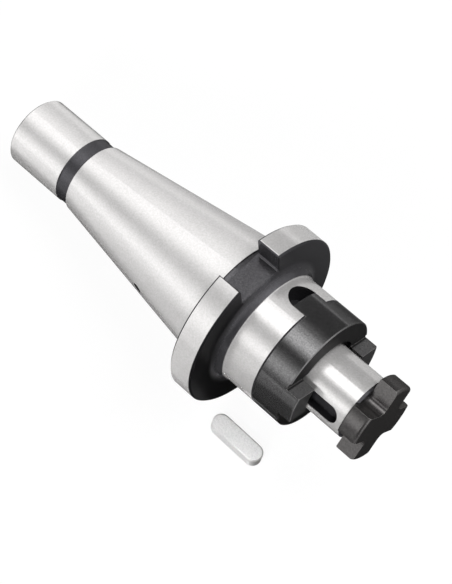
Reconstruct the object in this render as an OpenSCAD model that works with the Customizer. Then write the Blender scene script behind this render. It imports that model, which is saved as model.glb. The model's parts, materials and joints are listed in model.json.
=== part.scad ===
// Combination shell mill arbor: a steep-taper tool holder with a round spigot for a cutter,
// a loose driving ring with tenons, a clamping screw with a four-armed head and a feather key.
// The holder lies on the two edges of its lower drive slot and on its tail, and the key lies beside it.

/* [Spindle taper] */
// Diameter at the gauge line, the large end of the taper
gauge_d = 44.45; // [42:0.05:46]
// Length of the taper from the gauge line to its small end
taper_l = 65.4; // [60:0.1:72]
// Loss of diameter for each millimetre along the taper (7 in 24)
taper_rate = 0.291667; // [0.27:0.000001:0.3]
// Diameter of the pilot behind the taper
pilot_d = 24.7; // [22:0.1:25]
// Length of the pilot
pilot_l = 22.5; // [18:0.5:30]
// Bevel on the pilot's tail edge
pilot_bevel = 0.4; // [0.2:0.1:1]
// Width of the black groove between pilot and taper
groove_w = 5.2; // [3:0.1:8]
// Depth of that groove below the pilot
groove_depth = 0.3; // [0.1:0.05:1]
// Nominal diameter of the drawbar thread in the tail
draw_thread_d = 16; // [12:1:18]
// Depth of the drawbar thread
draw_thread_l = 40; // [25:1:50]
// Bevel at the mouth of the drawbar thread
draw_mouth = 1; // [0.5:0.1:1.5]
// Diameter of the small blind hole in the side of the taper
dimple_d = 3.5; // [2:0.1:5]
// Depth of the small hole
dimple_depth = 3; // [1:0.5:4]
// Distance of the small hole from the gauge line
dimple_at = 26.2; // [10:0.1:50]

/* [Flange] */
// Flange diameter
flange_d = 63; // [58:0.5:70]
// Flange thickness
flange_t = 8.8; // [7:0.1:14]
// Bevel on both rims of the flange
flange_bevel = 0.6; // [0.3:0.1:1]
// Width of the relief between the flange and the gauge line
neck_w = 2; // [1:0.1:4]
// Depth of the relief below the gauge diameter
neck_depth = 0.45; // [0.2:0.05:1]
// Width of the two drive slots
drive_slot_w = 16.1; // [12:0.1:20]
// Distance from the axis to the floor of a drive slot
drive_slot_floor = 22.4; // [22.1:0.1:25]
// Radius in the inner corners of a drive slot
drive_slot_corner = 0.8; // [0.3:0.1:2]
// Bevel on the outer edges of a drive slot
drive_slot_bevel = 0.7; // [0.3:0.1:1]

/* [Collar] */
// Diameter of the collar, and of the driving ring in front of it
collar_d = 40; // [36:0.5:44]
// Length of the collar from the flange's front face
collar_l = 15; // [14:0.5:24]
// Radius of the black fillet at the collar's root
root_r = 3.8; // [2:0.1:5]
// Height of the fillet's end above the ground collar
root_step = 0.25; // [0.1:0.05:0.4]
// Where the ground part of the collar starts, ahead of the flange
ground_from = 2.8; // [1.5:0.1:4.5]
// Bevel on the collar's front edge
collar_bevel = 0.3; // [0.1:0.1:1]
// Width of the two lug slots in the collar
lug_slot_w = 10.6; // [8:0.1:12]
// Length of a lug slot, from the collar's front face to its round end
lug_slot_l = 9.9; // [9:0.1:11]
// Distance from the axis to the floor of a lug slot
lug_slot_floor = 13.5; // [12.5:0.1:15]
// Turn of the lug slots from the drive slots
nose_turn = -24.5; // [-90:0.5:90]

/* [Spigot] */
// Spigot diameter, on which a cutter sits
spigot_d = 22; // [18:0.5:23]
// Length of the spigot ahead of the collar
spigot_l = 28; // [24:0.5:40]
// Bevel on the spigot's front edge
spigot_bevel = 0.8; // [0.3:0.1:1.5]
// How much smaller than the spigot its relieved root is, where the driving ring sits
ring_seat_drop = 0.36; // [0.34:0.02:0.8]
// Depth of the keyway below the spigot
keyway_depth = 3.5; // [2:0.1:4]
// Distance from the spigot's front face to the keyway's round end
keyway_setback = 2.8; // [1.5:0.1:4]
// Depth of the threaded hole for the clamping screw
screw_hole_l = 28; // [26:1:34]
// Bevel at the mouth of that hole
screw_mouth = 0.6; // [0.3:0.1:1]

/* [Driving ring] */
// Thickness of the ring without its tenons and lugs
ring_t = 10.8; // [9:0.1:14]
// Bevel on the ring's rims
ring_bevel = 0.3; // [0.1:0.1:1]
// Diameter of the recess in the ring's front face
recess_d = 25.6; // [24:0.1:28]
// Depth of that recess
recess_depth = 2; // [1.6:0.1:4]
// Length of the two lugs that stand back into the collar
lug_l = 4.7; // [3:0.1:6]
// Width of the two front tenons
tenon_w = 10; // [8:0.1:12]
// Height of the tenons above the ring's face
tenon_h = 4.5; // [3:0.1:6]
// Bevel on the outer edge of a tenon's end
tenon_bevel = 0.4; // [0.1:0.1:1]
// Width of the cutter relief on each side of a tenon
relief_w = 2; // [1:0.1:3]
// Depth of that relief
relief_depth = 0.5; // [0.2:0.1:1]

/* [Clamping screw] */
// Nominal thread diameter
screw_d = 10; // [8:0.5:11]
// Length of the shank under the head
screw_l = 25; // [20:0.5:26]
// Bevel at the tip of the shank
screw_tip = 1.2; // [0.5:0.1:2]
// Diameter over the four arms of the head
head_d = 28; // [25:0.5:30]
// Thickness of the head
head_t = 6.8; // [5:0.1:9]
// Width of an arm
arm_w = 9.5; // [8:0.1:11]
// Radius in the corners between the arms
arm_fillet = 2.4; // [1:0.1:3]
// Rounding of the head's front rim
head_round = 1.2; // [0.5:0.1:2]
// Bevel on the head's back rim
head_bevel = 0.3; // [0.1:0.1:1]
// Turn of the head's arms from the drive slots
head_turn = 44.1; // [0:0.1:90]

/* [Feather key] */
// Key width
key_w = 6; // [4:0.1:8]
// Key height
key_h = 6; // [4:0.1:8]
// Key length over its round ends
key_l = 20; // [16:0.5:22]
// Bevel all round the key's top and bottom
key_bevel = 0.4; // [0.2:0.1:0.8]
// Gap between the key and the side of the collar
key_gap = 1.6; // [1:0.1:10]
// How far ahead of the flange the key lies
key_ahead = 7.4; // [4:0.1:20]
// Turn of the key from the holder's direction
key_turn = 2.3; // [0:0.1:3]

/* [Clearances] */
// Radial clearance of the ring on its seat and of the screw in its hole
running = 0.04; // [0.02:0.01:0.08]
// Clearance on each side of a lug and of the key in its keyway
side_play = 0.1; // [0.05:0.01:0.2]
// Clearance under a lug
under_play = 0.2; // [0.1:0.05:0.4]

/* [Hidden] */
$fn = 96;

// how far a cut runs past the face that it opens
past = 1;
// half the angle of a drill's point
drill_half_angle = 59;
// how far ahead of the recess's floor the ring's seat ends and the full-size spigot starts
seat_inside = 0.2;

// places along the axis, from the flange's front face, with the nose positive
gauge_at = -flange_t - neck_w;
taper_end = gauge_at - taper_l;
pilot_end = taper_end - groove_w;
tail_at = pilot_end - pilot_l;
ring_front = collar_l + ring_t;
nose_at = collar_l + spigot_l;
head_front = nose_at + head_t;
ring_seat_end = ring_front - recess_depth + seat_inside;

// radii
gauge_r = gauge_d / 2;
small_r = gauge_r - taper_l * taper_rate / 2;
pilot_r = pilot_d / 2;
flange_r = flange_d / 2;
collar_r = collar_d / 2;
spigot_r = spigot_d / 2;
seat_r = spigot_r - ring_seat_drop / 2;
head_r = head_d / 2;

// the drive slot's bevels meet the flange's rim at edge_across, edge_up
half_slot = drive_slot_w / 2;
bevel_foot = sqrt(flange_r ^ 2 - half_slot ^ 2) - drive_slot_bevel;
edge_sum = half_slot + bevel_foot;
edge_grow = (sqrt(edge_sum ^ 2 - 2 * (half_slot ^ 2 + bevel_foot ^ 2 - flange_r ^ 2)) - edge_sum) / 2;
edge_across = half_slot + edge_grow;
edge_up = bevel_foot + edge_grow;

// the holder lies on the slot's edges at the flange's back rim and on the pilot's tail rim
rim_at = -flange_t + flange_bevel;
tail_rim_at = tail_at + pilot_bevel;
lean = atan((edge_up - pilot_r) / (rim_at - tail_rim_at));
axis_z = edge_up * cos(lean) - rim_at * sin(lean);
back_x = tail_at * cos(lean) - (pilot_r - pilot_bevel) * sin(lean);
front_x = head_front * cos(lean) + (head_r - head_round) * sin(lean);
axis_x = -(back_x + front_x) / 2;

// Children stand on the turning axis +Z, nose up, with a drive slot on +X; this lays them down.
module laid_down() {
    translate([axis_x, 0, axis_z])
        rotate([0, 90 - lean, 0])
            rotate([0, 0, 180])
                children();
}

// Everything on the holder that is turned: pilot, groove, taper, neck, flange, collar and spigot
module holder_turned() {
    rotate_extrude()
        polygon([
            [0, tail_at],
            [pilot_r - pilot_bevel, tail_at],
            [pilot_r, tail_rim_at],
            [pilot_r, pilot_end],
            [pilot_r - groove_depth, pilot_end + groove_depth],
            [pilot_r - groove_depth, taper_end],
            [small_r, taper_end],
            [gauge_r, gauge_at],
            [gauge_r - neck_depth, gauge_at + neck_depth / 2],
            [gauge_r - neck_depth, -flange_t],
            [flange_r - flange_bevel, -flange_t],
            [flange_r, rim_at],
            [flange_r, -flange_bevel],
            [flange_r - flange_bevel, 0],
            [collar_r, 0],
            [collar_r, collar_l - collar_bevel],
            [collar_r - collar_bevel, collar_l],
            [seat_r, collar_l],
            [seat_r, ring_seat_end],
            [spigot_r, ring_seat_end],
            [spigot_r, nose_at - spigot_bevel],
            [spigot_r - spigot_bevel, nose_at],
            [0, nose_at]
        ]);
    root_fillet();
}

// Hollow quarter-round between the flange's face and the collar, cut off where the ground part starts
module root_fillet() {
    rotate_extrude()
        intersection() {
            difference() {
                translate([collar_r - past, -past])
                    square([root_step + root_r + past, root_r + past]);
                translate([collar_r + root_step + root_r, root_r])
                    circle(r = root_r);
            }
            translate([collar_r - past, -past])
                square([root_step + root_r + past, ground_from + past]);
        }
}

// One drive slot, cut through the flange along the axis, with round inner corners and bevelled edges
module drive_slot() {
    top = flange_r + past;
    spread = half_slot + top - bevel_foot;
    translate([0, 0, -flange_t - past])
        linear_extrude(flange_t + 2 * past + root_r) {
            polygon([
                [drive_slot_floor + drive_slot_corner, -half_slot],
                [bevel_foot, -half_slot],
                [top, -spread],
                [top, spread],
                [bevel_foot, half_slot],
                [drive_slot_floor + drive_slot_corner, half_slot]
            ]);
            translate([drive_slot_floor, drive_slot_corner - half_slot])
                square([2 * drive_slot_corner, drive_slot_w - 2 * drive_slot_corner]);
            for (side = [-1, 1])
                translate([drive_slot_floor + drive_slot_corner, side * (half_slot - drive_slot_corner)])
                    circle(r = drive_slot_corner, $fn = 32);
        }
}

// A milled slot that points along +X: full-round at its rear end, open or round at its front
module milled_slot(w, floor_r, rear, front, round_front) {
    straight = front - rear - (round_front ? w : w / 2);
    translate([floor_r, 0, rear + w / 2])
        rotate([90, 0, 90])
            linear_extrude(collar_r) {
                circle(d = w);
                translate([-w / 2, 0])
                    square([w, straight]);
                if (round_front)
                    translate([0, straight])
                        circle(d = w);
            }
}

// A blind hole from a face into the solid along +Z, with a bevelled mouth and a drill's point
module blind_hole(r, depth, mouth) {
    cylinder(h = depth, r = r);
    translate([0, 0, -past])
        cylinder(h = past + mouth, r1 = r + mouth + past, r2 = r);
    translate([0, 0, depth])
        cylinder(h = r / tan(drill_half_angle), r1 = r, r2 = 0);
}

module holder() {
    lug_slot_rear = collar_l - lug_slot_l;
    keyway_w = key_w + 2 * side_play;
    keyway_front = nose_at - keyway_setback;
    keyway_rear = keyway_front - key_l - 2 * side_play;
    dimple_z = gauge_at - dimple_at;
    dimple_r = gauge_r - dimple_at * taper_rate / 2;
    color([0.78, 0.78, 0.76])
        laid_down()
            difference() {
                holder_turned();
                for (turn = [0, 180])
                    rotate([0, 0, turn])
                        drive_slot();
                for (turn = [0, 180])
                    rotate([0, 0, nose_turn + turn])
                        milled_slot(lug_slot_w, lug_slot_floor, lug_slot_rear, collar_l + past, false);
                rotate([0, 0, nose_turn + 90])
                    milled_slot(keyway_w, spigot_r - keyway_depth, keyway_rear, keyway_front, true);
                translate([0, 0, tail_at])
                    blind_hole(draw_thread_d / 2, draw_thread_l, draw_mouth);
                translate([0, 0, nose_at])
                    rotate([180, 0, 0])
                        blind_hole(screw_d / 2, screw_hole_l, screw_mouth);
                rotate([0, 0, 90])
                    translate([dimple_r - dimple_depth, 0, dimple_z])
                        rotate([0, 90, 0])
                            cylinder(h = dimple_depth + past, d = dimple_d);
            }
}

// The ring's turned body up to a height, with a bevelled rim at each end
module ring_turned(low, high, bevel) {
    rotate_extrude()
        polygon([
            [spigot_r + running, low],
            [collar_r - ring_bevel, low],
            [collar_r, low + ring_bevel],
            [collar_r, high - bevel],
            [collar_r - bevel, high],
            [spigot_r + running, high]
        ]);
}

module driving_ring() {
    lug_w = lug_slot_w - 2 * side_play;
    lug_floor = lug_slot_floor + under_play;
    tenon_top = ring_front + tenon_h;
    color([0.13, 0.13, 0.14])
        laid_down()
            difference() {
                union() {
                    ring_turned(collar_l, ring_front, ring_bevel);
                    intersection() {
                        ring_turned(collar_l, tenon_top, tenon_bevel);
                        rotate([0, 0, nose_turn + 90])
                            translate([-collar_r - past, -tenon_w / 2, ring_front - past])
                                cube([2 * (collar_r + past), tenon_w, tenon_h + 2 * past]);
                    }
                    for (turn = [0, 180])
                        rotate([0, 0, nose_turn + turn])
                            intersection() {
                                translate([0, 0, collar_l - lug_l])
                                    cylinder(h = lug_l + ring_t / 2, r = collar_r);
                                translate([lug_floor, -lug_w / 2, collar_l - lug_l])
                                    cube([collar_r, lug_w, lug_l + ring_t / 2]);
                            }
                }
                translate([0, 0, ring_front - recess_depth])
                    cylinder(h = recess_depth + tenon_h + past, d = recess_d);
                rotate([0, 0, nose_turn + 90])
                    for (side_y = [-tenon_w / 2 - relief_w, tenon_w / 2])
                        translate([-collar_r - past, side_y, ring_front - relief_depth])
                            cube([2 * (collar_r + past), relief_w, relief_depth + past]);
            }
}

// Outline of the head: two crossed bars with round inner corners, cut to the head's diameter
module head_outline() {
    corner = arm_w / 2 + arm_fillet;
    intersection() {
        circle(r = head_r);
        union() {
            square([head_d, arm_w], center = true);
            square([arm_w, head_d], center = true);
            difference() {
                square(2 * corner, center = true);
                for (x = [-1, 1], y = [-1, 1])
                    translate([x * corner, y * corner])
                        circle(r = arm_fillet, $fn = 48);
            }
        }
    }
}

// Solid of revolution that the head is cut from: bevelled back rim, round front rim
module head_turned() {
    rotate_extrude()
        union() {
            polygon([
                [0, 0],
                [head_r - head_bevel, 0],
                [head_r, head_bevel],
                [head_r, head_t - head_round],
                [head_r - head_round, head_t - head_round],
                [head_r - head_round, head_t],
                [0, head_t]
            ]);
            intersection() {
                translate([head_r - head_round, head_t - head_round])
                    circle(r = head_round, $fn = 48);
                translate([head_r - head_round, head_t - head_round])
                    square(head_round);
            }
        }
}

module clamping_screw() {
    shank_r = screw_d / 2 - running;
    color([0.13, 0.13, 0.14])
        laid_down()
            translate([0, 0, nose_at]) {
                intersection() {
                    rotate([0, 0, head_turn])
                        linear_extrude(head_t)
                            head_outline();
                    head_turned();
                }
                rotate([180, 0, 0]) {
                    translate([0, 0, -head_t / 2])
                        cylinder(h = head_t / 2 + screw_l - screw_tip, r = shank_r);
                    translate([0, 0, screw_l - screw_tip])
                        cylinder(h = screw_tip, r1 = shank_r, r2 = shank_r - screw_tip);
                }
            }
}

// Section across the key, bevelled at its four corners
module key_section() {
    half = key_w / 2;
    polygon([
        [key_bevel - half, 0],
        [half - key_bevel, 0],
        [half, key_bevel],
        [half, key_h - key_bevel],
        [half - key_bevel, key_h],
        [key_bevel - half, key_h],
        [-half, key_h - key_bevel],
        [-half, key_bevel]
    ]);
}

module feather_key() {
    key_x = axis_x + key_ahead + key_l / 2;
    key_y = -(collar_r + key_gap + key_w / 2);
    straight = key_l - key_w;
    color([0.8, 0.8, 0.79])
        translate([key_x, key_y, 0])
            rotate([0, 0, key_turn]) {
                translate([-straight / 2, 0, 0])
                    rotate([90, 0, 90])
                        linear_extrude(straight)
                            key_section();
                for (side = [-1, 1])
                    translate([side * straight / 2, 0, 0])
                        rotate_extrude()
                            intersection() {
                                key_section();
                                square([key_w, key_h]);
                            }
            }
}

holder();
driving_ring();
clamping_screw();
feather_key();
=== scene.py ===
# %% [markdown]
# # A combination shell mill arbor, dressed for its portrait
# The solids of this tool holder come ready made, at their real size and in their real place. What is left
# for Blender is what the eye goes by: ground steel next to black oxide, fine marks left by the grinding
# wheel, screw threads, a studio and a camera. Each step below is one short cell. The first one loads the
# solids.

import json
import math

import bpy
from mathutils import Euler, Matrix, Vector


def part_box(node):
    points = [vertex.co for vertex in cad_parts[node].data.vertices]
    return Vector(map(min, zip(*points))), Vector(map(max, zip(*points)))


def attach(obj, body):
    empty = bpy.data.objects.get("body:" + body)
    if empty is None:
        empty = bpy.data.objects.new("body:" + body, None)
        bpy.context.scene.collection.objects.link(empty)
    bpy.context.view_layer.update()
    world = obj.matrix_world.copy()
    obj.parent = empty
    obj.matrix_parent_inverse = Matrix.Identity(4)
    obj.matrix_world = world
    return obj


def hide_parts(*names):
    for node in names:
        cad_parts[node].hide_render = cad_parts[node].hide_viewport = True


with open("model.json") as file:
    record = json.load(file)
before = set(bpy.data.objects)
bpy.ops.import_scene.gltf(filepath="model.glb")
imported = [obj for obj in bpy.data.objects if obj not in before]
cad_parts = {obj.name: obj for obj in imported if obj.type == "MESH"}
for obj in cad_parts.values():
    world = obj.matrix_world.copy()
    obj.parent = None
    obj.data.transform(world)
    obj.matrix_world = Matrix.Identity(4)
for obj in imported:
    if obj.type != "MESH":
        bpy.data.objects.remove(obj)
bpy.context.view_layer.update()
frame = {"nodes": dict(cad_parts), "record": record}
record = frame["record"]
print("solids:", sorted(frame["nodes"]))

# %% [markdown]
# Nearly everything on a turned part is told by two numbers: how far along the axis a point is, and how
# far from the axis. So the first thing to find is the axis. The record has it: its direction is the
# spigot's own, and the middle of the taper's gauge line is a place on it. Lengths along the axis are
# counted from the front face of the flange, in millimetres, with the nose positive.

# %% The axis, taken from the record
MM = 0.001
mounts = {mount["name"]: mount for mount in record["mounts"]}
axis = Vector(mounts["spigot"]["axis"]).normalized()
lean = math.atan2(axis.z, axis.x)
gauge_line = Vector(mounts["spindle_taper"]["pos_m"])
gauge_at = -10.8
flange_face = gauge_line - axis * gauge_at * MM
straight_up = Vector((-axis.z, 0, axis.x))
print("the axis leans", round(math.degrees(lean), 2), "degrees, flange face at", flange_face)


def on_axis(along):
    """A point of the axis, given in millimetres from the flange's front face, as a place in metres."""
    return flange_face + axis * along * MM


# %% [markdown]
# The camera stands high over the near side, a little towards the nose, and looks down with a long lens.
# Its place and turns come from fitting the rims of the real part, which are circles of known size.

# %% Camera
camera_place = Vector((0.10632, -0.15785, 0.49249))
camera_turn = (20.9986, -5.4226, 44.9495)
camera_lens = 98.4
camera_data = bpy.data.cameras.new("camera")
camera_data.sensor_width = 36
camera_data.lens = camera_lens
camera = bpy.data.objects.new("camera", camera_data)
camera.location = camera_place
camera.rotation_euler = Euler([math.radians(turn) for turn in camera_turn])
bpy.context.scene.collection.objects.link(camera)
bpy.context.scene.camera = camera
bpy.context.scene.view_settings.view_transform = "Standard"
print("camera", round((camera_place - flange_face).length, 3), "m from the flange")

# %% [markdown]
# Materials, the studio's walls and the screw threads are all node trees, and all of them do sums. Long
# chains of Math nodes are hard to read, so one small class lets a socket stand in a Python expression:
# `radius - 20` then adds the Math node by itself.


# %% Sockets in Python expressions
class Term:
    """A socket of a node tree that can be used in sums."""

    def __init__(self, tree, socket):
        self.tree = tree
        self.socket = socket

    def of(self, name):
        """Another output of the same node."""
        return Term(self.tree, self.socket.node.outputs[name])

    def math(self, operation, *others):
        terms = [self, *others]
        return self.tree.node("ShaderNodeMath", {"operation": operation}, dict(enumerate(terms)))

    def __add__(self, other):
        return self.math("ADD", other)

    def __radd__(self, other):
        return self.math("ADD", other)

    def __mul__(self, other):
        return self.math("MULTIPLY", other)

    def __rmul__(self, other):
        return self.math("MULTIPLY", other)

    def __sub__(self, other):
        return self.math("SUBTRACT", other)

    def __rsub__(self, other):
        return (self * -1) + other

    def __truediv__(self, other):
        return self.math("DIVIDE", other)

    def __pow__(self, other):
        return self.math("POWER", other)

    def clamped(self):
        return self.tree.node("ShaderNodeClamp", {}, {"Value": self})

    def above(self, edge, blur):
        """0 below the edge and 1 above it, with a short ramp between."""
        return ((self - edge) * (1 / blur) + 0.5).clamped()

    def between(self, low, high, blur):
        return self.above(low, blur) * (1 - self.above(high, blur))


print("sockets can be summed")

# %% [markdown]
# Every other node comes from one method, which sets the node's own settings first and its sockets after.
# Two more that are built on it blend colours and compare directions. Most noises only move a level up
# and down from its middle, which one small function does for as many noises as it gets.


# %% Node trees
class Tree:
    """A node tree that is built from the outputs back."""

    def __init__(self, node_tree):
        self.nodes = node_tree.nodes
        self.links = node_tree.links
        self.nodes.clear()

    def node(self, kind, settings, sockets, output=0):
        made = self.nodes.new(kind)
        for name, value in settings.items():
            if name == "stops":
                self.set_stops(made.color_ramp, value)
            else:
                setattr(made, name, value)
        for name, value in sockets.items():
            if isinstance(value, Term):
                self.links.new(value.socket, made.inputs[name])
            else:
                made.inputs[name].default_value = value
        return Term(self, made.outputs[output]) if len(made.outputs) else made

    def set_stops(self, ramp, stops):
        ramp.interpolation = "B_SPLINE"
        while len(ramp.elements) < len(stops):
            ramp.elements.new(0.5)
        for element, (place, colour) in zip(ramp.elements, stops):
            element.position = place
            element.color = colour

    def blend(self, factor, first, second):
        """One colour turned into another where the factor is 1."""
        sockets = {0: factor, 6: first, 7: second}
        return self.node("ShaderNodeMix", {"data_type": "RGBA"}, sockets, output=2)

    def dot(self, first, second):
        """How far one direction goes along another, from -1 to 1."""
        sockets = {0: first, 1: second}
        return self.node("ShaderNodeVectorMath", {"operation": "DOT_PRODUCT"}, sockets, output="Value")


def grey(level):
    """A colour without a hue."""
    return (level, level, level, 1)


def varied(middle, *noises):
    """A level that noises move up and down from its middle, each by its own share."""
    level = middle
    for noise, share in noises:
        level = (noise - 0.5) * share + level
    return level


print("node tools ready")

# %% [markdown]
# Polished steel has no look of its own: it shows the room. The room here is a tent with a bright panel
# overhead, another at the near side, and dark gaps beside them, where the photographer stands. Round a
# lying cylinder only the angle about the axis matters, so the tent is a ramp over that angle. There are
# three ramps, because a direction's lean along the axis matters too: the spigot, collar and flange
# mirror one part of the room, the taper mirrors a part nearer the tail, and the ring's chamfers and
# tenons mirror what lies ahead of the nose. The room's end wall, straight on from the nose, has one
# level, for the faces that look that way. One picture of a room could do the same, but ramps need no
# file. The camera itself sees plain white, and what is lit softly gets one even grey level.

# %% The tent
tent_over_nose = [
    (-180, 0.60), (-130, 0.80), (-110, 0.40), (-92, 0.12), (-70, 0.10), (-48, 0.05), (-36, 0.06),
    (-26, 0.35), (-16, 0.85), (-7, 1.75), (2, 2.20), (10, 1.65), (17, 0.55), (24, 0.06), (31, 0.08),
    (40, 0.30), (49, 0.85), (58, 1.40), (68, 0.90), (78, 0.25), (88, 0.12), (100, 0.20), (114, 0.30),
    (180, 0.60),
]
tent_over_tail = [
    (-180, 0.90), (-130, 1.00), (-105, 0.65), (-80, 0.60), (-60, 0.75), (-32, 1.05), (-14, 1.35),
    (0, 1.25), (12, 0.90), (24, 0.45), (34, 0.35), (44, 0.45), (54, 0.80), (68, 1.15), (84, 1.30),
    (98, 1.20), (120, 1.10), (180, 0.95),
]
tent_ahead = [
    (-180, 0.30), (-90, 0.60), (-50, 1.10), (-28, 1.50), (0, 1.10), (30, 0.30), (60, 0.04), (100, 0.10),
    (180, 0.30),
]
brightest = max(level for angle, level in tent_over_nose + tent_over_tail + tent_ahead)
soft_level = 0.20
tail_ends, tail_blur = -0.375, 0.05
ahead_starts, ahead_blur = 0.05, 0.2
end_wall_starts, end_wall_blur = 0.86, 0.2
end_wall = 1.1
towards_near_side = (0, -1, 0)


def turn_about_axis(tree, direction):
    """0 to 1 for a direction that goes once round the axis, with 0.5 straight up, then the near side."""
    upward = tree.dot(direction, straight_up)
    near = tree.dot(direction, towards_near_side)
    return near.math("ARCTAN2", upward) * (1 / math.tau) + 0.5


def tent_ramp(tree, turn, levels):
    """The levels over the angle about the axis, given in degrees, as a share of the brightest."""
    stops = [((angle + 180) / 360, grey(level / brightest)) for angle, level in levels]
    return tree.node("ShaderNodeValToRGB", {"stops": stops}, {0: turn})


def make_tent():
    world = bpy.data.worlds.new("tent")
    bpy.context.scene.world = world
    world.use_nodes = True
    tree = Tree(world.node_tree)
    ray = tree.node("ShaderNodeLightPath", {}, {})
    direction = tree.node("ShaderNodeTexCoord", {}, {}, output="Generated")
    turn = turn_about_axis(tree, direction)
    over_nose = tent_ramp(tree, turn, tent_over_nose)
    over_tail = tent_ramp(tree, turn, tent_over_tail)
    ahead = tent_ramp(tree, turn, tent_ahead)
    forward = tree.dot(direction, axis)
    towards_nose = forward.above(tail_ends, tail_blur)
    round_parts = towards_nose * over_nose + (1 - towards_nose) * over_tail
    beyond_nose = forward.above(ahead_starts, ahead_blur)
    panels = (1 - beyond_nose) * round_parts + beyond_nose * ahead
    straight_on = forward.above(end_wall_starts, end_wall_blur)
    panels = (1 - straight_on) * panels + straight_on * (end_wall / brightest)
    mirrored = ray.of("Is Glossy Ray")
    seen = ray.of("Is Camera Ray").math("MAXIMUM", ray.of("Is Transmission Ray"))
    level = seen + (1 - seen) * (mirrored * panels * brightest + (1 - mirrored) * soft_level)
    background = tree.node("ShaderNodeBackground", {}, {"Color": (1, 1, 1, 1), "Strength": level})
    tree.node("ShaderNodeOutputWorld", {}, {"Surface": background})
    return world


tent = make_tent()
print(tent.name, "as bright as", brightest)

# %% [markdown]
# The floor is white paper. To the camera most of its white is its own, so that it melts into the
# background, and the rest is lit by the lamps, which keeps the object's shadow. What the steel mirrors of
# it is another matter: right under the arbor a painted shadow makes the paper nearly black, on the near
# side of the nose it lies in an oval pool of painted shade, farther out it is grey, and behind the tail it
# is bright. All of that is worked out from the place on the floor, and only mirror rays see it.

# %% Floor
floor_half = 3.0
floor_own_white = 0.94
paper_white = 0.98
# Painted shade on the floor as the steel mirrors it: a painted shadow under the arbor and an oval pool of
# painted shade beside the nose.
painted_shadow_under = grey(0.02)
painted_shade_in_pool = grey(0.10)
mirrored_outside = grey(0.38)
mirrored_behind = grey(0.80)
pool_middle = (0.078, -0.10)
pool_half = (0.066, 0.135)
pool_blur = 0.3
under_to_x, under_to_y, under_blur = 0.078, 0.035, 0.02
behind_from, behind_blur = 0.06, 0.08
behind_slant = 0.15


def make_floor():
    mesh = bpy.data.meshes.new("floor")
    corners = [(-floor_half, -floor_half, 0), (floor_half, -floor_half, 0),
               (floor_half, floor_half, 0), (-floor_half, floor_half, 0)]
    mesh.from_pydata(corners, [], [(0, 1, 2, 3)])
    floor = bpy.data.objects.new("floor", mesh)
    bpy.context.scene.collection.objects.link(floor)
    material = bpy.data.materials.new("white_paper")
    material.use_nodes = True
    tree = Tree(material.node_tree)
    ray = tree.node("ShaderNodeLightPath", {}, {})
    place = tree.node("ShaderNodeTexCoord", {}, {}, output="Object")
    parts = tree.node("ShaderNodeSeparateXYZ", {}, {0: place})
    x, y = parts.of("X"), parts.of("Y")
    aside = y.math("ABSOLUTE")
    x_out, y_out = [(part - middle) * (1 / half)
                    for part, middle, half in zip((x, y), pool_middle, pool_half)]
    out_of_pool = ((x_out * x_out + y_out * y_out) ** 0.5).above(1.0, pool_blur)
    behind = (x * -1 - aside * behind_slant).above(behind_from, behind_blur)
    # Painted shadow under the arbor and painted shade in the pool, for mirror rays only.
    under = (1 - x.above(under_to_x, under_blur)) * (1 - aside.above(under_to_y, under_blur))
    outside = tree.blend(behind, mirrored_outside, mirrored_behind)
    mirrored = tree.blend(out_of_pool, painted_shade_in_pool, outside)
    mirrored = tree.blend(under, mirrored, painted_shadow_under)
    colour = tree.blend(ray.of("Is Glossy Ray"), grey(1), mirrored)
    lit = tree.node("ShaderNodeBsdfDiffuse", {}, {"Color": grey(paper_white)})
    own = tree.node("ShaderNodeEmission", {}, {"Color": colour, "Strength": 1})
    share = ray.of("Is Camera Ray") * floor_own_white + ray.of("Is Glossy Ray")
    paper = tree.node("ShaderNodeMixShader", {}, {0: share, 1: lit, 2: own})
    tree.node("ShaderNodeOutputMaterial", {}, {"Surface": paper})
    mesh.materials.append(material)
    return floor


floor = make_floor()
print(floor.name, 2 * floor_half, "m wide")

# %% [markdown]
# Two soft lamps give the parts their shading, one on the far side and a lower one on the near side, so
# that a round part is a little darker between them. The key lies low beside the arbor and would be too
# dim, so a very small lamp with a narrow spread is aimed at its middle alone. The tent already holds
# the lamps' reflections, so the lamps themselves keep out of those.


# %% Lamps
def make_lamp(name, place, size, watts, aim=(0, 0, 0), spread=180):
    data = bpy.data.lights.new(name, "AREA")
    data.shape = "SQUARE"
    data.size = size
    data.energy = watts
    data.spread = math.radians(spread)
    lamp = bpy.data.objects.new(name, data)
    lamp.location = place
    lamp.rotation_euler = (Vector(aim) - Vector(place)).to_track_quat("-Z", "Y").to_euler()
    lamp.visible_glossy = False
    bpy.context.scene.collection.objects.link(lamp)
    return lamp


far_lamp = make_lamp("far_side", (0.15, 0.45, 0.88), size=0.7, watts=9.5)
near_lamp = make_lamp("near_side", (0.25, -0.92, 0.42), size=0.4, watts=10.0)
key_place = sum(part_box("feather_key"), Vector()) / 2
key_lamp = make_lamp("over_key", (0.035, -0.16, 0.22), size=0.02, watts=0.0025, aim=key_place, spread=14)
print("lamps", far_lamp.name, near_lamp.name, key_lamp.name)

# %% [markdown]
# Every material starts from the same few numbers of a point: how far along the axis it is, how far across
# and up, and how far from the axis. A Mapping node turns the Object coordinates into the arbor's own, in
# millimetres. The same class holds what more than one finish needs: turning and grinding marks, edges that
# look broken although the solid's are sharp, faces square to the axis, which a lathe leaves duller and
# which the black oxide darkens as painted shade, and edges that are lighter, partly as wear that has rubbed
# them bare and partly as a painted highlight. Three widths in millimetres say how gradually one finish
# passes into the next.


# %% Coordinates on the arbor
crisp, soft, softer = 0.04, 0.1, 0.2
marks_drift = 0.12
face_edge, face_blur = 0.95, 0.05
edge_mask_floor = 0.1


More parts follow.
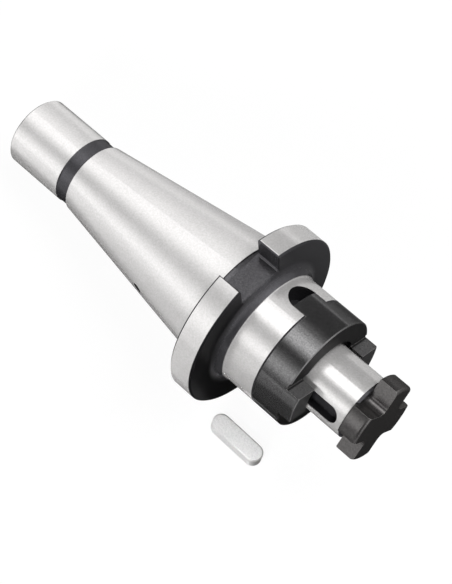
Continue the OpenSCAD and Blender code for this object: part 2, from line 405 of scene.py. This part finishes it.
class Finish(Tree):
    """A material's tree, with the arbor's own coordinates at hand."""

    def __init__(self, name):
        self.material = bpy.data.materials.new(name)
        self.material.use_nodes = True
        super().__init__(self.material.node_tree)
        origin = Euler((0, lean, 0)).to_matrix() @ flange_face
        placed = self.node("ShaderNodeTexCoord", {}, {}, output="Object")
        self.point = self.node(
            "ShaderNodeMapping", {"vector_type": "POINT"},
            {"Vector": placed, "Scale": (1 / MM,) * 3, "Rotation": (0, lean, 0), "Location": -origin / MM})
        parts = self.node("ShaderNodeSeparateXYZ", {}, {0: self.point})
        self.along = parts.of("X")
        self.across = parts.of("Y") * -1
        self.up = parts.of("Z")
        self.radius = (self.across * self.across + self.up * self.up) ** 0.5

    def noise(self, vector, scale, detail=2.0, roughness=0.5):
        return self.node("ShaderNodeTexNoise", {"noise_dimensions": "3D"},
                         {"Vector": vector, "Scale": scale, "Detail": detail, "Roughness": roughness})

    def wheel_marks(self, pitch):
        """Fine rings that a grinding wheel or a lathe leaves, with that pitch in millimetres."""
        stretched = self.node("ShaderNodeCombineXYZ", {}, {
            "X": (self.along + self.radius) * (1 / pitch),
            "Y": self.across * marks_drift, "Z": self.up * marks_drift})
        return self.noise(stretched, scale=1.0, detail=3.0, roughness=0.6)

    def round_edges(self, radius_mm):
        """The surface's direction, as if its edges were broken by that radius."""
        return self.node("ShaderNodeBevel", {"samples": 6}, {"Radius": radius_mm * MM})

    def facing(self, direction):
        """How squarely the surface looks in a direction, from -1 to 1."""
        return self.dot(self.node("ShaderNodeNewGeometry", {}, {}, output="Normal"), direction)

    def faced(self):
        """1 on faces square to the axis, which a lathe leaves duller than the round ones."""
        return self.facing(axis).math("ABSOLUTE").above(face_edge, face_blur)

    def edge_wear_and_highlight(self, reach_mm, gain):
        """1 along edges, for wear that rubs them bare and for a painted highlight: there the rounded
        direction turns away from the surface's.
        """
        return ((1 - self.facing(self.round_edges(reach_mm))) * gain - edge_mask_floor).clamped()

    def bump(self, height, depth_mm, normal):
        return self.node("ShaderNodeBump", {}, {"Height": height, "Distance": depth_mm * MM,
                                                "Strength": 1.0, "Normal": normal})

    def surface(self, colour, roughness, normal, scatter, rim_tint=1.0):
        """A metal that scatters a part of its light, with that tint where it is seen edge on."""
        return self.node("ShaderNodeBsdfPrincipled", {}, {
            "Base Color": colour, "Roughness": roughness, "Normal": normal, "Metallic": 1 - scatter,
            "Specular Tint": grey(rim_tint)})

    def finished(self, surface):
        self.node("ShaderNodeOutputMaterial", {}, {"Surface": surface})
        return self.material


print("arbor coordinates ready")

# %% [markdown]
# Black oxide is a thin dark skin on the steel. It is satin, slightly mottled where the bath took
# unevenly, and lighter along edges that hands and tools have rubbed. Where a mill cut the ring's tenons
# the skin is thin and the steel shows through in grey flecks. The skin is told apart from the steel
# below by its low colour and by some scattered light, and it still mirrors much as a metal does.


# %% Black oxide
# Lighter colour along edges: partly real wear, partly a painted highlight.
rubbed_steel_and_highlight = (0.42, 0.41, 0.40, 1)
fleck_grey = (0.40, 0.39, 0.39, 1)
# Painted shade: faces square to the axis are darkened towards this colour.
face_painted_shade = grey(0.02)
face_shade_share = 0.55
darkest, lightest = 0.72, 1.25
flecks_from, flecks_gain = 0.36, 1.2
tenon_top = 19.8
milled_scatter = 0.22
turned_roughness = 0.22


def black_oxide(finish, shade, tint, smooth, milled):
    """Colour, roughness and height of the oxide skin, around a given shade, with flecks where milled."""
    mottle = finish.noise(finish.point, scale=0.35, detail=4.0, roughness=0.6)
    grain = finish.noise(finish.point, scale=2.0, detail=4.0, roughness=0.75)
    dark, light = [tuple(share * shade * part for part in tint) + (1,) for share in (darkest, lightest)]
    tone = varied(0.5, (mottle, 0.3), (grain, 3.0))
    colour = finish.blend(tone.clamped(), dark, light)
    flecks = milled * ((grain - flecks_from) * flecks_gain).clamped()
    colour = finish.blend(flecks, colour, fleck_grey)
    roughness = varied(smooth, (mottle, 0.04), (grain, 0.06))
    height = grain * 0.7 + mottle * 0.3
    return colour, roughness, height


def make_oxide_material(name, shade, tint, smooth, marks_pitch, scatter, edge_mm, milled_from):
    finish = Finish(name)
    milled = finish.along.above(milled_from, softer) * (1 - finish.radius.above(tenon_top, soft))
    colour, roughness, height = black_oxide(finish, shade, tint, smooth, milled)
    faced = finish.faced()
    # Painted shade: faces square to the axis get a darker colour.
    colour = finish.blend(faced * face_shade_share, colour, face_painted_shade)
    # Edges lighter: part rubbed wear, part painted highlight.
    colour = finish.blend(finish.edge_wear_and_highlight(reach_mm=0.16, gain=6.0), colour, rubbed_steel_and_highlight)
    marks = finish.wheel_marks(marks_pitch)
    normal = finish.bump(height * 0.6 + marks * 0.4, depth_mm=0.004, normal=finish.round_edges(edge_mm))
    roughness = roughness + faced * turned_roughness
    scatter = scatter + milled * milled_scatter
    return finish.finished(finish.surface(colour, roughness, normal, scatter, rim_tint=0.3))


ring_black = make_oxide_material(
    "ring_black_oxide", shade=0.20, tint=(1.01, 1.0, 1.01), smooth=0.145,
    marks_pitch=0.35, scatter=0.05, edge_mm=0.15, milled_from=26.0)
screw_black = make_oxide_material(
    "screw_black_oxide", shade=0.15, tint=(1.05, 1.01, 1.0), smooth=0.235,
    marks_pitch=0.5, scatter=0.10, edge_mm=0.12, milled_from=60.0)
print("black oxide:", ring_black.name, screw_black.name)

# %% [markdown]
# The holder was blackened all over and then ground where it has to fit: on the pilot, the taper, the
# flange's rim, the collar and the spigot. So one rule tells the two apart. A point is bright if it lies
# in the length of a ground band and as far out as that band's surface, and black everywhere else, such
# as in the groove, the slots and the keyway, or on the faces. A narrow black line stays on the rim along
# the drive slots, where their edges were broken before the bath.

# %% Ground bands of the holder
ground_bands = {
    "pilot": (-103.5, -81.4, 12.35, 12.35),
    "taper": (-76.2, -10.8, 12.6875, 22.225),
    "flange rim": (-8.2, -0.6, 31.5, 31.5),
    "collar": (2.8, 14.7, 20.0, 20.0),
    "spigot root": (15.0, 24.0, 10.82, 10.82),
    "spigot": (24.0, 42.2, 11.0, 11.0),
}
skin = 0.20
slot_edge_at = 8.4
rim_from = 30.0


def bright_mask(finish):
    """1 on the ground bands and 0 elsewhere."""
    mask = None
    for start, end, start_radius, end_radius in ground_bands.values():
        slope = (end_radius - start_radius) / (end - start)
        surface = finish.along * slope + (start_radius - start * slope)
        band = finish.along.between(start, end, crisp) * (finish.radius - surface).above(-skin, crisp)
        mask = band if mask is None else mask.math("MAXIMUM", band)
    beside_slot = 1 - finish.across.math("ABSOLUTE").above(slot_edge_at, crisp)
    return mask * (1 - beside_slot * finish.radius.above(rim_from, soft))


print("ground bands:", ", ".join(ground_bands))

# %% [markdown]
# The two finishes are two whole surfaces, and a Mix Shader chooses between them, so that each keeps its own
# way of mirroring light. The ground one has fine and broad wheel marks and a faint cloudiness. The black
# one is duller on the flange's turned face, and painted shade darkens that face, most of all on its near
# half. The black one also has the flecks of milled steel on the floors of the drive slots.


# %% The holder's two surfaces
steel_dark = (0.67, 0.658, 0.652, 1)
steel_light = (0.92, 0.906, 0.898, 1)
steel_scatter, steel_smooth = 0.34, 0.22
fine_pitch, broad_pitch = 0.12, 1.4
oxide_shade, oxide_tint, oxide_smooth = 0.09, (1.0, 0.98, 1.06), 0.21
oxide_scatter = 0.25
slot_half, slot_floor, slot_ends, slot_flecks = 8.0, 20.3, -0.2, 0.4
# Painted shade on the flange's turned face, darkest on its near half.
flange_painted_shade = grey(0.004)
face_from, face_from_blur = -0.6, 0.3
face_inner, face_inner_blur = 22.0, 3.0
near_from, near_blur = 5.0, 20.0
flange_shade_share, near_half_shade_share = 0.4, 0.42
face_roughness = 0.16
relief_mm, broken_edge_mm = 0.006, 0.2


def make_holder_material():
    finish = Finish("holder_ground_and_black")
    bright = bright_mask(finish)
    fine = finish.wheel_marks(fine_pitch)
    broad = finish.wheel_marks(broad_pitch)
    cloud = finish.noise(finish.point, scale=0.06)
    speckle = finish.noise(finish.point, scale=1.8, detail=4.0, roughness=0.75)
    tone = varied(0.5, (fine, 0.25), (broad, 0.15), (cloud, 0.35), (speckle, 2.2))
    steel = finish.blend(tone.clamped(), steel_dark, steel_light)
    steel_roughness = varied(steel_smooth, (fine, 0.06), (cloud, 0.04), (speckle, 0.06))
    steel_normal = finish.bump((fine + speckle) * 0.15, relief_mm, finish.round_edges(broken_edge_mm))
    ground = finish.surface(steel, steel_roughness, steel_normal, steel_scatter)
    in_slot = finish.radius.above(slot_floor, soft) * (1 - finish.along.above(slot_ends, softer))
    in_slot = in_slot * (1 - finish.across.math("ABSOLUTE").above(slot_half, soft))
    oxide, oxide_roughness, oxide_height = black_oxide(
        finish, oxide_shade, oxide_tint, oxide_smooth, in_slot * slot_flecks)
    turned_face = finish.along.above(face_from, face_from_blur)
    turned_face = turned_face * finish.radius.above(face_inner, face_inner_blur)
    near_half_shade = finish.across.above(near_from, near_blur)
    # Painted shade: the flange's turned face, and most of all its near half, is darkened.
    oxide = finish.blend(turned_face * (flange_shade_share + near_half_shade * near_half_shade_share), oxide, flange_painted_shade)
    oxide_roughness = oxide_roughness + turned_face * face_roughness
    oxide_normal = finish.bump(oxide_height, relief_mm, finish.round_edges(broken_edge_mm))
    black = finish.surface(oxide, oxide_roughness, oxide_normal, oxide_scatter, rim_tint=0.5)
    return finish.finished(finish.node("ShaderNodeMixShader", {}, {0: bright, 1: black, 2: ground}))


holder_finish = make_holder_material()
print("holder:", holder_finish.name)

# %% [markdown]
# The key was ground flat along its length and left bare. It is paler and duller than the spigot, with faint
# scratches that run along it. Stretching the noise along the key makes those scratches. The wall of its
# round end that looks towards the nose is darkened, as painted shade.


# %% Key steel
key_dark = (0.80, 0.795, 0.79, 1)
key_light = (1.0, 0.995, 0.99, 1)
# Painted shade on the key's end wall that looks towards the nose.
key_end_painted_shade = (0.34, 0.335, 0.33, 1)
key_end_from, key_end_blur, key_end_share = 0.55, 0.6, 0.9
key_scatter, key_smooth = 0.45, 0.50


def make_key_material():
    finish = Finish("key_ground_steel")
    stretched = finish.node("ShaderNodeMapping", {"vector_type": "POINT"},
                            {"Vector": finish.point, "Scale": (0.35, 6.0, 6.0)})
    scratches = finish.noise(stretched, scale=1.0, detail=4.0, roughness=0.65)
    grain = finish.noise(finish.point, scale=2.0, detail=4.0, roughness=0.75)
    tone = varied(0.6, (scratches, 0.8), (grain, 3.0))
    colour = finish.blend(tone.clamped(), key_dark, key_light)
    # Painted shade: the end wall facing the nose gets a darker colour.
    end_shade_mask = finish.facing(axis).above(key_end_from, key_end_blur)
    colour = finish.blend(end_shade_mask * key_end_share, colour, key_end_painted_shade)
    roughness = varied(key_smooth, (grain, 0.2))
    normal = finish.bump(scratches * 0.6 + grain * 0.4, depth_mm=0.006, normal=finish.round_edges(0.15))
    return finish.finished(finish.surface(colour, roughness, normal, key_scatter))


key_finish = make_key_material()
print("key:", key_finish.name)

# %% [markdown]
# A screw thread is a ridge wound round a shaft, or round a hole and pointing inwards. In the tree below
# a flat grid is wound up: its length becomes the turns, and its width becomes the ridge's section, which
# is the standard one: flanks at 60 degrees to each other, an eighth of the pitch left flat on the crest
# and a quarter in the root. The ridge sinks away over its last three quarters of a turn at both ends.

# %% The thread as a node tree
steps_per_turn = 48
steps_across = 16
crest_half = 1 / 16
root_starts = 3 / 8
fade_turns = 0.75


def make_thread_tree():
    group = bpy.data.node_groups.new("wound_thread", "GeometryNodeTree")
    for name in ("Root Radius", "Ridge Height", "Pitch", "Length"):
        group.interface.new_socket(name=name, in_out="INPUT", socket_type="NodeSocketFloat")
    group.interface.new_socket(name="Material", in_out="INPUT", socket_type="NodeSocketMaterial")
    group.interface.new_socket(name="Geometry", in_out="OUTPUT", socket_type="NodeSocketGeometry")
    tree = Tree(group)
    given = tree.node("NodeGroupInput", {}, {})
    pitch = given.of("Pitch")
    length = given.of("Length")
    flat = tree.node("GeometryNodeMeshGrid", {}, {
        "Size X": length, "Size Y": 1.0,
        "Vertices X": length / pitch * steps_per_turn, "Vertices Y": steps_across + 1})
    placed = tree.node("ShaderNodeSeparateXYZ", {}, {0: tree.node("GeometryNodeInputPosition", {}, {})})
    along = placed.of("X")
    aside = placed.of("Y")
    flank = ((root_starts - aside.math("ABSOLUTE")) * (1 / (root_starts - crest_half))).clamped()
    fade = ((length * 0.5 - along.math("ABSOLUTE")) / (pitch * fade_turns)).clamped()
    radius = given.of("Root Radius") + given.of("Ridge Height") * flank * fade
    turned = along / pitch * math.tau
    wound = tree.node("ShaderNodeCombineXYZ", {}, {
        "X": along + aside * pitch, "Y": radius * turned.math("COSINE"), "Z": radius * turned.math("SINE")})
    ridge = tree.node("GeometryNodeSetPosition", {}, {"Geometry": flat, "Position": wound})
    smooth = tree.node("GeometryNodeSetShadeSmooth", {}, {"Geometry": ridge})
    real = tree.node("GeometryNodeRealizeInstances", {}, {"Geometry": smooth})
    dressed = tree.node("GeometryNodeSetMaterial", {}, {"Geometry": real, "Material": given.of("Material")})
    tree.node("NodeGroupOutput", {}, {"Geometry": dressed})
    return group


thread_tree = make_thread_tree()
print("thread inputs:", [item.name for item in thread_tree.interface.items_tree])

# %% [markdown]
# Two threads are cut with it: M10 x 1.5 on the clamping screw's shank and M16 x 2 in the tail, where
# the machine's drawbar pulls. A modifier on an empty object runs the tree, its result is kept as a
# plain mesh, and that mesh is put on the axis, so that the piece itself sits at the origin.


# %% Winding a thread onto the arbor
def wind_thread(name, material, middle_at, **sizes):
    """A thread round the axis, with its middle at that place along it, as a plain mesh."""
    carrier = bpy.data.objects.new(name + "_carrier", bpy.data.meshes.new(name + "_carrier"))
    bpy.context.scene.collection.objects.link(carrier)
    wound = carrier.modifiers.new("thread", "NODES")
    wound.node_group = thread_tree
    values = {key.replace("_", " ").title(): value * MM for key, value in sizes.items()}
    values["Material"] = material
    for item in thread_tree.interface.items_tree:
        if item.in_out == "INPUT":
            wound[item.identifier] = values[item.name]
    solved = carrier.evaluated_get(bpy.context.evaluated_depsgraph_get())
    mesh = bpy.data.meshes.new_from_object(solved)
    bpy.data.objects.remove(carrier)
    onto_axis = Matrix((axis, Vector((0, 1, 0)), straight_up)).transposed().to_4x4()
    mesh.transform(Matrix.Translation(on_axis(middle_at)) @ onto_axis)
    mesh.name = name
    piece = bpy.data.objects.new(name, mesh)
    bpy.context.scene.collection.objects.link(piece)
    return piece


print("thread winder ready")

# %% [markdown]
# In the tail the thread stands inwards from the wall of its hole, so its ridge height is negative. It
# rides on the holder and takes the holder's own finish, which is black inside that hole.

# %% The drawbar thread in the tail
tail_face = -103.9
tail_lead_in = 1.0
tail_thread_l = 37.0
tail_thread = wind_thread(
    "drawbar_thread", holder_finish, tail_face + tail_lead_in + tail_thread_l / 2,
    root_radius=8.02, ridge_height=-1.10, pitch=2.0, length=tail_thread_l)
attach(tail_thread, "holder")
print("drawbar thread:", len(tail_thread.data.polygons), "faces")

# %% [markdown]
# The screw's solid has a plain shank as thick as the thread. In the picture a copy of it takes its
# place, with the shank taken down to the thread's core and the ridge wound on again.

# %% The clamping screw with its thread
screw_core = 4.12
shank_outer = (4.4, 5.2)
shank_span = (17.0, 43.02)
screw_thread_span = (18.9, 41.6)


def thin_shank(piece):
    """Takes the shank down to the thread's core."""
    for vertex in piece.data.vertices:
        offset = vertex.co - flange_face
        along = offset.dot(axis)
        aside = offset - axis * along
        on_shank = shank_span[0] < along / MM < shank_span[1]
        if on_shank and shank_outer[0] < aside.length / MM < shank_outer[1]:
            vertex.co = flange_face + axis * along + aside.normalized() * screw_core * MM


threaded_screw = bpy.data.objects.new("threaded_screw", frame["nodes"]["clamping_screw"].data.copy())
bpy.context.scene.collection.objects.link(threaded_screw)
thin_shank(threaded_screw)
threaded_screw.data.materials.clear()
threaded_screw.data.materials.append(screw_black)
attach(threaded_screw, "clamping_screw")
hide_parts("clamping_screw")
screw_thread = wind_thread(
    "screw_thread", screw_black, sum(screw_thread_span) / 2, root_radius=4.09, ridge_height=0.86,
    pitch=1.5, length=screw_thread_span[1] - screw_thread_span[0])
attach(screw_thread, "clamping_screw")
print("screw:", len(threaded_screw.data.polygons), "faces, its thread:", len(screw_thread.data.polygons))

# %% [markdown]
# The solids themselves stay as they are, and only get a finish. Each finish reads the arbor's own
# coordinates, so nothing has to be unwrapped or placed by hand.

# %% Give the solids their finishes
finishes = {
    "holder": holder_finish,
    "driving_ring": ring_black,
    "clamping_screw": screw_black,
    "feather_key": key_finish,
}
for name, material in finishes.items():
    materials = frame["nodes"][name].data.materials
    materials.clear()
    materials.append(material)
print("finished:", ", ".join(finishes))
